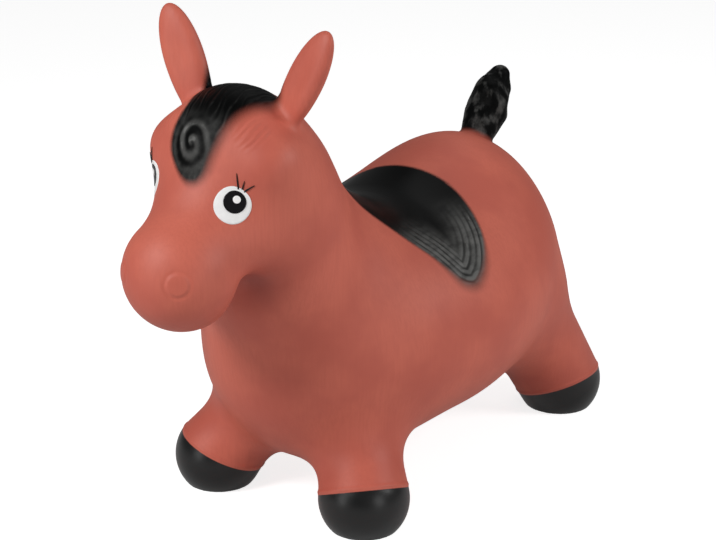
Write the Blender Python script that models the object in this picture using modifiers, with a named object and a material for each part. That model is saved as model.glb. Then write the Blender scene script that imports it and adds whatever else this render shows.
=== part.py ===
"""A bouncy ride-on horse: one moulded, air-filled skin, modelled as the sections that it flexes between
and the painted panels on it, with the valve seat and plug under the belly.

The horse faces -Y, its left side is +X and its soles stand flat on Z = 0. All sizes are in metres.
Each section is cut out of one hollow skin, so neighbours meet edge to edge with a fine gap.
"""
import bpy
import bmesh
from math import radians, tan
from mathutils import Matrix, Vector
from mathutils.bvhtree import BVHTree

# The skin
skin_wall = 0.0022
section_gap = 0.0004
overrun = 0.03
form_voxel = 0.006
skin_triangles = 2000
tail_triangles = 240
smoothing_rounds = 3
ball_segments = 48
limb_segments = 40
cutter_segments = 30
turned_segments = 24
merge_distance = 0.00002

# The trunk: three forms in a row, each with its middle and its full size
barrel_y = 0.062
barrel_z = 0.160
barrel_width = 0.286
barrel_length = 0.410
barrel_height = 0.236
rump_y = 0.166
rump_z = 0.187
rump_width = 0.220
rump_length = 0.210
rump_height = 0.240
chest_y = -0.055
chest_z = 0.158
chest_width = 0.234
chest_length = 0.224
chest_height = 0.244
trunk_fillet = 0.046
limb_fillet = 0.026

# The neck, from the chest up to the head
neck_base_y = -0.092
neck_base_z = 0.240
neck_base_diameter = 0.166
neck_top_y = -0.154
neck_top_z = 0.336
neck_top_diameter = 0.142

# The head and muzzle
head_y = -0.180
head_z = 0.360
head_width = 0.134
head_length = 0.156
head_height = 0.130
cheek_y = -0.198
cheek_z = 0.318
cheek_diameter = 0.102
muzzle_y = -0.247
muzzle_z = 0.275
muzzle_diameter = 0.111

# The legs: each leans out and away from the belly, and ends in a ball that is cut flat on the floor
front_hip_x = 0.054
front_hip_y = -0.067
front_hip_z = 0.088
front_hip_diameter = 0.070
front_hoof_x = 0.087
front_hoof_y = -0.102
front_hoof_diameter = 0.090
hind_hip_x = 0.062
hind_hip_y = 0.194
hind_hip_z = 0.134
hind_hip_diameter = 0.116
hind_hoof_x = 0.083
hind_hoof_y = 0.256
hind_hoof_diameter = 0.093
hoof_ball_height = 0.028
front_hoof_line_height = 0.035
front_hoof_line_out = radians(20)
front_hoof_line_ahead = radians(18)
hind_hoof_line_height = 0.028
hind_hoof_line_out = radians(19)
hind_hoof_line_ahead = radians(-4)
leg_section_radius = 0.074

# The ears: flattened cones with round ends, on the top corners of the head
ear_root_x = 0.047
ear_root_y = -0.160
ear_root_z = 0.396
ear_tip_x = 0.091
ear_tip_y = -0.157
ear_tip_z = 0.488
ear_root_width = 0.034
ear_width = 0.052
ear_tip_width = 0.026
ear_flatness_share = 0.68
ear_widest_share = 0.40
ear_joint_radius = 0.032
ear_space_radius = 0.034
ear_fillet = 0.007
joint_start_share = 0.6

# The tail: a fat upright lock on a short stub
tail_root_y = 0.214
tail_root_z = 0.294
tail_root_diameter = 0.027
tail_middle_y = 0.231
tail_middle_z = 0.328
tail_middle_diameter = 0.041
tail_tip_y = 0.252
tail_tip_z = 0.354
tail_tip_diameter = 0.023
tail_joint_radius = 0.020
tail_space_radius = 0.030
tail_voxel = 0.0035
tail_fillet = 0.004

# The seam across the neck, below the chin
neck_seam_share = 0.24

# The painted panels
eye_x = 0.0454
eye_y = -0.2303
eye_z = 0.341
eye_diameter = 0.038
pupil_diameter = 0.025
pupil_lift = 0.003
mane_width = 0.044

# The forelock's outline from the front, as (across, up) shares of its width and height, tip first
forelock_low_z = 0.352
forelock_height = 0.062
forelock_width = 0.056
forelock_edge_shares = [
    (0.16, 0.00), (0.36, 0.10), (0.50, 0.42), (0.50, 0.74), (0.40, 1.00), (0.40, 2.00),
    (-0.40, 2.00), (-0.40, 1.00), (-0.44, 0.74), (-0.30, 0.42), (-0.02, 0.10)]

# The valve in the belly, between the hind legs
valve_y = 0.120
seat_flange_diameter = 0.026
seat_flange_thickness = 0.0028
seat_tube_diameter = 0.014
seat_depth = 0.013
seat_bore_diameter = 0.0082
plug_head_diameter = 0.0160
plug_head_thickness = 0.0018
plug_stem_length = 0.0105
plug_clearance = 0.0003
plug_tip_share = 0.80

# The saddle's outline on the horse's side as (along, up) shares of the box from its rear top corner
# down to its lowest point; along runs forward from the rear edge
saddle_rear_y = 0.096
saddle_front_y = -0.078
saddle_low_z = 0.205
saddle_edge_shares = [
    (0.00, 1.30), (0.00, 0.76), (0.03, 0.58), (0.08, 0.42), (0.17, 0.22), (0.29, 0.06),
    (0.40, 0.00), (0.50, 0.07), (0.56, 0.20), (0.63, 0.38), (0.74, 0.58), (0.90, 0.80),
    (1.00, 1.02), (1.00, 1.30)]
saddle_height = 0.100

skin_brown = (0.43, 0.135, 0.10)
paint_black = (0.012, 0.012, 0.012)
hoof_black = (0.010, 0.010, 0.010)
paint_white = (0.85, 0.85, 0.82)
plug_white = (0.80, 0.80, 0.78)
ORIGIN = Vector((0, 0, 0))
UP = Vector((0, 0, 1))
SIDE = Vector((1, 0, 0))

for old in list(bpy.data.objects):
    bpy.data.objects.remove(old)
parts = bpy.data.collections.new("bouncy_horse")
cutters = bpy.data.collections.new("cutters")
bpy.context.scene.collection.children.link(parts)
bpy.context.scene.collection.children.link(cutters)


def material(name, colour, roughness, metallic=0.0):
    made = bpy.data.materials.new(name)
    made.use_nodes = True
    shader = made.node_tree.nodes["Principled BSDF"]
    shader.inputs["Base Color"].default_value = (*colour, 1.0)
    shader.inputs["Roughness"].default_value = roughness
    shader.inputs["Metallic"].default_value = metallic
    return made


moulded_skin = material("moulded_skin", skin_brown, 0.55)
black_paint = material("black_paint", paint_black, 0.45)
hoof_paint = material("hoof_paint", hoof_black, 0.25)
white_paint = material("white_paint", paint_white, 0.40)
pupil_paint = material("pupil_paint", paint_black, 0.30)
valve_vinyl = material("valve_vinyl", plug_white, 0.50)


def new_object(name, mesh, collection):
    made = bpy.data.objects.new(name, mesh)
    collection.objects.link(made)
    return made


def mesh_from(bm, name):
    mesh = bpy.data.meshes.new(name)
    bm.to_mesh(mesh)
    bm.free()
    return mesh


def turned_to(direction, across=None):
    """A rotation whose Z lies along direction, and whose X lies as near as it can to across."""
    z = Vector(direction).normalized()
    x = Vector(across) if across else SIDE
    x = (x - z * x.dot(z)).normalized()
    return Matrix((x, z.cross(x), z)).transposed().to_4x4()


def ball(bm, centre, size, segments=ball_segments, placed=Matrix()):
    """Add a ball, or with three sizes an egg, to a mesh."""
    scale = Matrix.Diagonal((*[each / 2 for each in size], 1))
    bmesh.ops.create_uvsphere(bm, u_segments=segments, v_segments=segments // 2, radius=1,
                              matrix=placed @ Matrix.Translation(centre) @ scale)


def limb(bm, start, end, start_diameter, end_diameter, placed=Matrix()):
    """Add a cone between two points, with a ball at each end."""
    start, end = Vector(start), Vector(end)
    along = end - start
    middle = Matrix.Translation((start + end) / 2) @ turned_to(along)
    bmesh.ops.create_cone(bm, cap_ends=True, segments=limb_segments, radius1=start_diameter / 2,
                          radius2=end_diameter / 2, depth=along.length, matrix=placed @ middle)
    ball(bm, start, [start_diameter] * 3, limb_segments, placed)
    ball(bm, end, [end_diameter] * 3, limb_segments, placed)


def evaluated(target):
    """Replace an object's mesh by what its modifiers make of it."""
    bpy.context.view_layer.update()
    mesh = bpy.data.meshes.new_from_object(target.evaluated_get(bpy.context.evaluated_depsgraph_get()))
    target.modifiers.clear()
    target.data = mesh
    return target


def fuse(target, voxel, fillet):
    """Join the forms in a mesh into one skin. Swelling it by the fillet and shrinking it again
    rounds the creases between the forms, and leaves what bulges as it was."""
    for swell in (fillet, -fillet, 0):
        remesh = target.modifiers.new("join", "REMESH")
        remesh.mode = "VOXEL"
        remesh.voxel_size = voxel
        smooth = target.modifiers.new("even_out", "SMOOTH")
        smooth.iterations = smoothing_rounds
        displace = target.modifiers.new("swell", "DISPLACE")
        displace.strength = swell
        displace.mid_level = 0
    return evaluated(target)


def thin_out(target, triangles):
    """Lower a skin to about so many triangles."""
    bm = bmesh.new()
    bm.from_mesh(target.data)
    bmesh.ops.triangulate(bm, faces=bm.faces)
    count = len(bm.faces)
    bm.to_mesh(target.data)
    bm.free()
    decimate = target.modifiers.new("thin_out", "DECIMATE")
    decimate.ratio = min(1.0, triangles / count)
    decimate.use_symmetry = True
    decimate.symmetry_axis = "X"
    return evaluated(target)


def flatten_soles(target):
    """Cut a skin off level at the floor and close it with flat soles. Corners within a wall of the
    floor are put on it, and slivers are turned round, so that the wall doesn't cross itself."""
    bm = bmesh.new()
    bm.from_mesh(target.data)
    for corner in bm.verts:
        if abs(corner.co.z) < skin_wall:
            corner.co.z = 0
    bmesh.ops.beautify_fill(bm, faces=bm.faces, edges=bm.edges, method="ANGLE")
    everything = bm.verts[:] + bm.edges[:] + bm.faces[:]
    bmesh.ops.bisect_plane(bm, geom=everything, dist=merge_distance, plane_co=ORIGIN, plane_no=-UP,
                           clear_outer=True)
    rim = [corner for corner in bm.verts if corner.is_boundary]
    bmesh.ops.remove_doubles(bm, verts=rim, dist=skin_wall)
    bmesh.ops.contextual_create(bm, geom=[each for each in bm.edges if each.is_boundary])
    bm.to_mesh(target.data)
    bm.free()
    return target


def hollow(target):
    """Give a closed skin its wall, inwards."""
    solidify = target.modifiers.new("wall", "SOLIDIFY")
    solidify.thickness = skin_wall
    solidify.offset = -1
    return evaluated(target)


def cutter(name, bm):
    made = new_object(name, mesh_from(bm, name), cutters)
    made.display_type = "WIRE"
    made.hide_render = True
    return made


def ball_cutter(name, centre, radius):
    bm = bmesh.new()
    ball(bm, centre, [2 * radius] * 3, segments=cutter_segments)
    return cutter(name, bm)


def post_cutter(name, start, direction, radius, length):
    """A cylinder from a point along a direction."""
    bm = bmesh.new()
    place = Matrix.Translation(Vector(start) + Vector(direction).normalized() * length / 2)
    bmesh.ops.create_cone(bm, cap_ends=True, segments=cutter_segments, radius1=radius, radius2=radius,
                          depth=length, matrix=place @ turned_to(direction))
    return cutter(name, bm)


def block_cutter(name, corner, normal, size):
    """A large box whose lower face has its middle at corner and looks away from normal."""
    bm = bmesh.new()
    bmesh.ops.create_cube(bm, size=1, matrix=Matrix.Translation(corner) @ turned_to(normal)
                          @ Matrix.Translation(UP * size / 2) @ Matrix.Scale(size, 4))
    return cutter(name, bm)


def grown(points, distance):
    """A closed outline moved outwards by a distance."""
    area = sum(a[0] * b[1] - b[0] * a[1] for a, b in zip(points, points[1:] + points[:1]))
    if area < 0:
        points = points[::-1]
    moved = []
    for before, here, after in zip(points[-1:] + points[:-1], points, points[1:] + points[:1]):
        into = (Vector(here) - Vector(before)).normalized()
        away = (Vector(after) - Vector(here)).normalized()
        outward = (Vector((into.y, -into.x)) + Vector((away.y, -away.x))).normalized()
        moved.append(tuple(Vector(here) + outward * distance / outward.dot((into.y, -into.x))))
    return moved


def outline_cutter(name, points, placed, depth):
    """A prism on an outline in a local XY plane, from that plane along its Z."""
    bm = bmesh.new()
    face = bm.faces.new([bm.verts.new((x, y, 0)) for x, y in points])
    extruded = bmesh.ops.extrude_face_region(bm, geom=[face])
    top = [each for each in extruded["geom"] if isinstance(each, bmesh.types.BMVert)]
    bmesh.ops.translate(bm, verts=top, vec=UP * depth)
    bmesh.ops.recalc_face_normals(bm, faces=bm.faces)
    bmesh.ops.transform(bm, matrix=placed, verts=bm.verts)
    return cutter(name, bm)


def cut(target, tool, operation="DIFFERENCE"):
    boolean = target.modifiers.new(tool.name, "BOOLEAN")
    boolean.operation = operation
    boolean.object = tool
    return target


def drop_crumbs(target):
    """Keep only the largest connected piece of a cut skin."""
    bm = bmesh.new()
    bm.from_mesh(target.data)
    bmesh.ops.remove_doubles(bm, verts=bm.verts, dist=merge_distance)
    bmesh.ops.dissolve_degenerate(bm, edges=bm.edges, dist=merge_distance)
    left, pieces = set(bm.verts), []
    while left:
        piece, edge = set(), {left.pop()}
        while edge:
            piece |= edge
            edge = {e.other_vert(v) for v in edge for e in v.link_edges} - piece
        left -= piece
        pieces.append(piece)
    largest = max(pieces, key=len)
    bmesh.ops.delete(bm, geom=[v for v in bm.verts if v not in largest], context="VERTS")
    bm.to_mesh(target.data)
    bm.free()


def section(name, source, paint, keep=(), remove=()):
    """A piece of a hollow skin: what lies in every cutter of keep and in none of remove."""
    made = new_object(name, source.data.copy(), parts)
    for tool in keep:
        cut(made, tool, "INTERSECT")
    for tool in remove:
        cut(made, tool)
    drop_crumbs(evaluated(made))
    made.data.name = name
    made.data.materials.clear()
    made.data.materials.append(paint)
    for face in made.data.polygons:
        face.material_index = 0
    return made


def joint_at(name, place):
    """An empty on a joint, to carry what moves with it."""
    empty = new_object(name, None, parts)
    empty.location = place
    empty.empty_display_size = section_gap
    return empty


def carry(joint, *carried):
    """Give pieces the joint's place as their origin, and parent them to it."""
    for each in carried:
        each.data.transform(Matrix.Translation(-joint.location) @ Matrix.Translation(each.location))
        each.location = ORIGIN
        each.parent = joint


def mirrored(place, side):
    return Vector((place[0] * side, place[1], place[2]))


ear_root = Vector((ear_root_x, ear_root_y, ear_root_z))
ear_tip = Vector((ear_tip_x, ear_tip_y, ear_tip_z))
tail_root = Vector((0, tail_root_y, tail_root_z))
tail_middle = Vector((0, tail_middle_y, tail_middle_z))
tail_tip = Vector((0, tail_tip_y, tail_tip_z))
neck_base = Vector((0, neck_base_y, neck_base_z))
neck_top = Vector((0, neck_top_y, neck_top_z))
legs = {
    "front": dict(hip=(front_hip_x, front_hip_y, front_hip_z), hip_diameter=front_hip_diameter,
                  hoof=(front_hoof_x, front_hoof_y, hoof_ball_height), hoof_diameter=front_hoof_diameter,
                  line=front_hoof_line_height, out=front_hoof_line_out, ahead=front_hoof_line_ahead),
    "hind": dict(hip=(hind_hip_x, hind_hip_y, hind_hip_z), hip_diameter=hind_hip_diameter,
                 hoof=(hind_hoof_x, hind_hoof_y, hoof_ball_height), hoof_diameter=hind_hoof_diameter,
                 line=hind_hoof_line_height, out=hind_hoof_line_out, ahead=hind_hoof_line_ahead),
}
SIDES = (("left", 1), ("right", -1))
long = 2 * barrel_width


def add_ear(bm, side):
    """A cone that widens above its root and narrows to its tip, flattened from front to back."""
    root, tip = mirrored(ear_root, side), mirrored(ear_tip, side)
    placed = Matrix.Translation(root) @ turned_to(tip - root, across=SIDE * side)
    flat = placed @ Matrix.Diagonal((1, ear_flatness_share, 1, 1))
    length = (tip - root).length
    widest = UP * length * ear_widest_share
    end = UP * (length - ear_tip_width / 2)
    limb(bm, ORIGIN, widest, ear_root_width, ear_width, flat)
    limb(bm, widest, end, ear_width, ear_tip_width, flat)


def whole_form():
    """The closed outer skin from nose to tail, in three rounds of joining and rounding."""
    bm = bmesh.new()
    ball(bm, (0, barrel_y, barrel_z), (barrel_width, barrel_length, barrel_height))
    ball(bm, (0, rump_y, rump_z), (rump_width, rump_length, rump_height))
    ball(bm, (0, chest_y, chest_z), (chest_width, chest_length, chest_height))
    limb(bm, neck_base, neck_top, neck_base_diameter, neck_top_diameter)
    form = new_object("form", mesh_from(bm, "form"), cutters)
    fuse(form, form_voxel, trunk_fillet)

    bm = bmesh.new()
    bm.from_mesh(form.data)
    ball(bm, (0, head_y, head_z), (head_width, head_length, head_height))
    limb(bm, (0, cheek_y, cheek_z), (0, muzzle_y, muzzle_z), cheek_diameter, muzzle_diameter)
    for leg in legs.values():
        for _, side in SIDES:
            limb(bm, mirrored(leg["hip"], side), mirrored(leg["hoof"], side),
                 leg["hip_diameter"], leg["hoof_diameter"])
    form.data = mesh_from(bm, "form")
    fuse(form, form_voxel, limb_fillet)

    bm = bmesh.new()
    bm.from_mesh(form.data)
    for _, side in SIDES:
        add_ear(bm, side)
    limb(bm, tail_root, tail_middle, tail_root_diameter, tail_root_diameter)
    form.data = mesh_from(bm, "form")
    return flatten_soles(thin_out(fuse(form, form_voxel, ear_fillet), skin_triangles))


def tail_form():
    """The tail lock, closed, on a root inside the stub's ball."""
    bm = bmesh.new()
    limb(bm, tail_root, tail_middle, tail_root_diameter, tail_middle_diameter)
    limb(bm, tail_middle, tail_tip, tail_middle_diameter, tail_tip_diameter)
    form = new_object("tail_form", mesh_from(bm, "tail_form"), cutters)
    return hollow(thin_out(fuse(form, tail_voxel, tail_fillet), tail_triangles))


def space_beyond(name, centre, direction, radius, post_radius):
    """The space past a ball joint: a post from above the ball's middle, less the ball."""
    start = Vector(centre) + Vector(direction).normalized() * radius * joint_start_share
    return cut(post_cutter(name, start, direction, post_radius, long),
               ball_cutter(name + "_ball", centre, radius))


def turned(name, profile, place, paint):
    """A profile of (radius, height) points, up its outer side, turned about a vertical axis."""
    bm = bmesh.new()
    rim = [bm.verts.new((radius, 0, height)) for radius, height in reversed(profile)]
    closed = min(radius for radius, _ in profile) > 0
    for start, end in zip(rim, rim[1:] + rim[:1] if closed else rim[1:]):
        bm.edges.new((start, end))
    made = new_object(name, mesh_from(bm, name), parts)
    screw = made.modifiers.new("turn", "SCREW")
    screw.steps = screw.render_steps = turned_segments
    screw.use_merge_vertices = True
    screw.merge_threshold = merge_distance
    made.location = place
    made.data.materials.append(paint)
    return made


def mane_block(name, half_width, corner):
    """The space behind a corner on the horse's middle line, as wide as the mane and open upwards."""
    edge = [(-half_width, 0), (half_width, 0), (half_width, long), (-half_width, long)]
    back = Matrix.Translation(corner) @ Matrix(((-1, 0, 0), (0, 0, 1), (0, 1, 0))).to_4x4()
    return outline_cutter(name, edge, back, long)


whole = whole_form()
outside = BVHTree.FromObject(whole, bpy.context.evaluated_depsgraph_get())
whole = hollow(whole)

# The seam across the neck
neck_seam = neck_base.lerp(neck_top, neck_seam_share)
up_the_neck = (neck_top - neck_base).normalized()
above_seam = block_cutter("above_neck_seam", neck_seam + up_the_neck * section_gap, up_the_neck, long)
above_torso = block_cutter("above_torso", neck_seam, up_the_neck, long)

# The legs and hooves
torso_cutters = [above_torso]
for end, leg in legs.items():
    for side_name, side in SIDES:
        hoof = mirrored(leg["hoof"], side)
        line = Vector((hoof.x, hoof.y, leg["line"]))
        slope = Vector((-side * tan(leg["out"]), tan(leg["ahead"]), 1)).normalized()
        inside = ball_cutter(f"leg_ball_{end}_{side_name}", hoof, leg_section_radius)
        above = block_cutter(f"above_hoof_{end}_{side_name}", line + slope * section_gap, slope, long)
        below = block_cutter(f"below_hoof_{end}_{side_name}", line, -slope, long)
        foot = section(f"hoof_{end}_{side_name}", whole, hoof_paint, keep=(inside, below))
        section(f"leg_{end}_{side_name}", whole, moulded_skin, keep=(inside, above))
        carry(joint_at(f"sole_{end}_{side_name}", Vector((hoof.x, hoof.y, 0))), foot)
        torso_cutters.append(ball_cutter(f"around_leg_{end}_{side_name}", hoof,
                                         leg_section_radius + section_gap))

# The tail
torso_cutters.append(space_beyond("tail_space", tail_root, tail_middle - tail_root,
                                  tail_joint_radius, tail_space_radius))
tail_ball = ball_cutter("tail_root_ball", tail_root, tail_joint_radius + section_gap)
lock = tail_form()
tail = section("tail", lock, black_paint, remove=(tail_ball,))
bpy.data.objects.remove(lock)
carry(joint_at("tail_joint", tail_root), tail)

# The valve
down = outside.ray_cast(Vector((0, valve_y, barrel_z)), -UP)[0]
seat_radius = seat_flange_diameter / 2
torso_cutters.append(post_cutter("valve_hole", down - UP * overrun, UP, seat_radius + section_gap,
                                 2 * overrun))

bore_radius = seat_bore_diameter / 2
head_radius = plug_head_diameter / 2
recess = plug_head_thickness + plug_clearance
turned("valve_seat", [
    (seat_radius, 0), (seat_radius, seat_flange_thickness),
    (seat_tube_diameter / 2, seat_flange_thickness), (seat_tube_diameter / 2, seat_depth),
    (bore_radius, seat_depth), (bore_radius, recess),
    (head_radius + plug_clearance, recess), (head_radius + plug_clearance, 0)], down, valve_vinyl)
stem_radius = bore_radius - plug_clearance
plug = turned("valve_plug", [
    (0, 0), (head_radius, 0), (head_radius, plug_head_thickness), (stem_radius, plug_head_thickness),
    (stem_radius * plug_tip_share, plug_head_thickness + plug_stem_length),
    (0, plug_head_thickness + plug_stem_length)], down, valve_vinyl)

# The saddle panel on the back
saddle_box = Vector((saddle_rear_y - saddle_front_y, saddle_height))
saddle_edge = [(-along * saddle_box.x, up * saddle_box.y) for along, up in saddle_edge_shares]
saddle_place = (Matrix.Translation((-barrel_width, saddle_rear_y, saddle_low_z))
                @ Matrix(((0, 0, 1), (1, 0, 0), (0, 1, 0))).to_4x4())
saddle_prism = outline_cutter("saddle_prism", saddle_edge, saddle_place, long)
saddle_hole = outline_cutter("saddle_hole", grown(saddle_edge, section_gap), saddle_place, long)
section("saddle_panel", whole, black_paint, keep=(saddle_prism,), remove=(above_torso,))
torso_cutters.append(saddle_hole)
section("torso_skin", whole, moulded_skin, remove=torso_cutters)

# The ears
head_cutters = []
for side_name, side in SIDES:
    root = mirrored(ear_root, side)
    along = mirrored(ear_tip, side) - root
    head_cutters.append(space_beyond(f"ear_space_{side_name}", root, along,
                                     ear_joint_radius, ear_space_radius))
    beyond = space_beyond(f"ear_only_{side_name}", root + along.normalized() * section_gap, along,
                          ear_joint_radius, ear_space_radius - section_gap)
    ear = section(f"ear_{side_name}", whole, moulded_skin, keep=(beyond,))
    carry(joint_at(f"ear_joint_{side_name}", root), ear)

# The eyes
for side_name, side in SIDES:
    eye, facing, _, _ = outside.find_nearest(Vector((eye_x * side, eye_y, eye_z)))
    middle = eye + UP * pupil_lift
    around_eye = post_cutter(f"around_eye_{side_name}", eye - facing * overrun, facing,
                             eye_diameter / 2 + section_gap, 2 * overrun)
    in_eye = post_cutter(f"in_eye_{side_name}", eye - facing * overrun, facing, eye_diameter / 2, 2 * overrun)
    around_pupil = post_cutter(f"around_pupil_{side_name}", middle - facing * overrun, facing,
                               pupil_diameter / 2 + section_gap, 2 * overrun)
    in_pupil = post_cutter(f"in_pupil_{side_name}", middle - facing * overrun, facing, pupil_diameter / 2,
                           2 * overrun)
    section(f"eye_white_{side_name}", whole, white_paint, keep=(in_eye,), remove=(around_pupil,))
    section(f"pupil_{side_name}", whole, pupil_paint, keep=(in_pupil,))
    head_cutters.append(around_eye)

# The forelock on the forehead and the mane down the back of the neck, which meet between the ears
forelock_edge = [(across * forelock_width, up * forelock_height) for across, up in forelock_edge_shares]
facing_ahead = (Matrix.Translation((0, ear_root_y, forelock_low_z))
                @ Matrix(((1, 0, 0), (0, 0, -1), (0, 1, 0))).to_4x4())
forelock_prism = outline_cutter("forelock_prism", forelock_edge, facing_ahead, long)
forelock_hole = outline_cutter("forelock_hole", grown(forelock_edge, section_gap), facing_ahead, long)
head_cutters.append(forelock_hole)
section("forelock", whole, black_paint, keep=(forelock_prism,))
half_mane = mane_width / 2
behind_ears = Vector((0, ear_root_y + section_gap, neck_seam.z))
mane_space = mane_block("mane_space", half_mane, behind_ears)
before_mane = behind_ears - Vector((0, section_gap, 0))
head_cutters.append(mane_block("mane_hole", half_mane + section_gap, before_mane))
section("mane_panel", whole, black_paint, keep=(mane_space, above_seam))

section("head_skin", whole, moulded_skin, keep=(above_seam,), remove=head_cutters)
bpy.data.objects.remove(whole)
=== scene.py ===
"""The looks of a bouncy ride-on horse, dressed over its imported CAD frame.

The horse is one moulded, air-filled vinyl skin. Its surface is the zero level of one smooth field, a
sum of eggs and tapered rods joined with rounded creases, and every piece of skin is a part of that
one surface, so neighbours share their edge points and their normals. The paint follows distances
that are measured on the surface's own points and stored with them. All sizes are in metres.
"""
from math import cos, pi, radians, sin, tan

import bpy
import numpy as np
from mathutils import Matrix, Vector


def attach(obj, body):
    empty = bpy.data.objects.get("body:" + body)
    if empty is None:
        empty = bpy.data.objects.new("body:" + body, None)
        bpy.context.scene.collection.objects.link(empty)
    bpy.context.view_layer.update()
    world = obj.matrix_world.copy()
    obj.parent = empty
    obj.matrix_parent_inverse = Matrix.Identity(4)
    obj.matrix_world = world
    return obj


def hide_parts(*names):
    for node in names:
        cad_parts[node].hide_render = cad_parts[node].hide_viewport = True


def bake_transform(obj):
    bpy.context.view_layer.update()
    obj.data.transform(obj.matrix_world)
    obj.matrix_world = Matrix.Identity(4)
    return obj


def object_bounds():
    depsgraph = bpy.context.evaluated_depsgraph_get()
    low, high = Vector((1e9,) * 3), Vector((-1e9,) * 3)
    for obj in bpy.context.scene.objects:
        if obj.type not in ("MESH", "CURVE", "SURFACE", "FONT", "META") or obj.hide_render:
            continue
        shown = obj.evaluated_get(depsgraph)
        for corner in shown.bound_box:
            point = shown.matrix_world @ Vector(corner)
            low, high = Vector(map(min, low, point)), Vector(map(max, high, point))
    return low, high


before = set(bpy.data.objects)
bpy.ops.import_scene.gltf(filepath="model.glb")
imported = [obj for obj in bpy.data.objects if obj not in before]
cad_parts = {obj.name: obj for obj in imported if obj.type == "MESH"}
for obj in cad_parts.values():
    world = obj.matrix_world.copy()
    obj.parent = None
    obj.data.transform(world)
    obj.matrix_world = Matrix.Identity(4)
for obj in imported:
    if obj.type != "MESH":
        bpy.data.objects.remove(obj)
cad_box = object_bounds()

# The skin's grid: its step, a first pass in coarser steps, the room round the CAD and below the
# ground, and how the net is evened out and put on the skin
skin_step = 0.002
coarse_share = 4
coarse_reach = 1.6
grid_margin = 0.012
cells_below_ground = 3.5
settle_rounds, settle_share = 3, 0.5
drop_rounds = 6

# The distance given to a point that is far outside a painted place
far_away = 0.05

# The trunk's eggs: middle and half sizes
rump = ((0, 0.1700, 0.1867), (0.0954, 0.0947, 0.1159))
barrel = ((0, 0.0614, 0.1582), (0.1400, 0.2032, 0.1160))
chest = ((0, -0.0566, 0.1529), (0.0957, 0.1022, 0.1110))
trunk_reach = 0.0605

# The neck, head and muzzle
neck = ((0, -0.0940, 0.2425), (0, -0.1345, 0.3227), 0.0745, 0.0567)
skull = ((0, -0.1761, 0.3664), (0.0574, 0.0514, 0.0564))
muzzle = ((0, -0.1885, 0.3316), (0, -0.2490, 0.2744), 0.0326, 0.0517)
cheek = ((0, -0.1775, 0.3040), (0.0530, 0.0607, 0.0478))
brow_bump = ((0.0565, -0.1894, 0.3672), (0.0141, 0.0169, 0.0141))
throat = ((0, -0.1520, 0.2900), (0.0780, 0.0510, 0.0760))
head_reach = 0.034
brow_reach = 0.036
throat_reach = 0.050
chin_reach, jaw_reach = 0.018, 0.055
chin_height, jaw_height = 0.240, 0.305
jaw_hollow = (0.0310, -0.2030, 0.2500)
hollow_depth, hollow_reach = 0.0130, 0.024
# Shade painted into the colour in the hollow behind the jaw: its middle and how far it reaches
jaw_shade, shade_reach = (0.0330, -0.1975, 0.2520), 0.018

# The legs: hip, hoof ball, and the hoof's colour line as a height and two slopes
legs = {
    "front": dict(hip=(0.0537, -0.0669, 0.0879), hip_radius=0.0333, hoof=(0.0871, -0.1025, 0.0282),
                  hoof_radius=0.0428, line=0.035, out=radians(20), ahead=radians(18), root=-0.0535),
    "hind": dict(hip=(0.0657, 0.1964, 0.1279), hip_radius=0.0478, hoof=(0.0828, 0.2574, 0.0282),
                 hoof_radius=0.0444, line=0.028, out=radians(19), ahead=radians(-4), root=-0.066),
}
leg_reach = 0.034
leg_grip = -0.026
leg_bend_gap = 0.003
leg_span = 0.108

# The ears and the tail
ear_root = (0.047, -0.160, 0.396)
ear_middle = (0.0669, -0.1600, 0.4345)
ear_tip = {1: (0.0928, -0.1597, 0.4786), -1: (0.0856, -0.1597, 0.4820)}
ear_drop = 0.058
ear_half_width = 0.0196
ear_half_thickness = 0.0106
ear_turn = 0.265
ear_dish, ear_dish_share = 0.0036, (0.5, 0.6)
ear_reach = 0.010
ear_seam, ear_bend = 0.011, (0.013, 0.110)
ear_span, ear_floor = 0.036, 0.39
tail_root = (0, 0.214, 0.294)
tail_line = ((0, 0.214, 0.290, 0.0165), (0, 0.2250, 0.3030, 0.0180), (0, 0.2350, 0.3150, 0.0195),
             (0, 0.2405, 0.3260, 0.0195), (0, 0.2500, 0.3365, 0.0130), (0, 0.2585, 0.3475, 0.0098))
tail_reach = 0.006
tail_swell, tail_swell_ends, tail_swell_fade = 0.0018, (0.012, 0.082), 0.02
tail_ripple = 0.0005
tail_seam, tail_bend, tail_span = 0.004, (0.006, 0.026), 0.034
tail_paint_radius, tail_paint_slope = 0.024, 1.6

# The neck's lower seam, and how far up it the head's finer skin starts
neck_seam = (0, -0.1069, 0.263)
neck_height = 0.050

# The painted saddle: its outline on each side as (y, z), and the waves beside its lower edge
saddle_outline = ((0.096, 0.400), (0.096, 0.290), (0.0945, 0.276), (0.091, 0.2655), (0.083, 0.251),
                  (0.072, 0.237), (0.052, 0.220), (0.038, 0.211), (0.025, 0.207), (0.011, 0.2125),
                  (0.002, 0.226), (-0.007, 0.241), (-0.028, 0.263), (-0.054, 0.288), (-0.070, 0.311),
                  (-0.080, 0.331), (-0.0857, 0.345), (-0.0920, 0.360), (-0.0985, 0.372),
                  (-0.1090, 0.385), (-0.1235, 0.400))
saddle_space = ((-0.130, 0.125), (0.185, 0.377))
saddle_lines, saddle_start = 0.0056, 0.35
saddle_relief = 0.0005
saddle_edge_fade, saddle_inner_fade, saddle_top_fade = (0.002, 0.005), (0.018, 0.034), (0.246, 0.270)
saddle_wobble, saddle_wobble_ways = 0.2, (240, 190)
relief_step = 0.0002

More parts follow.
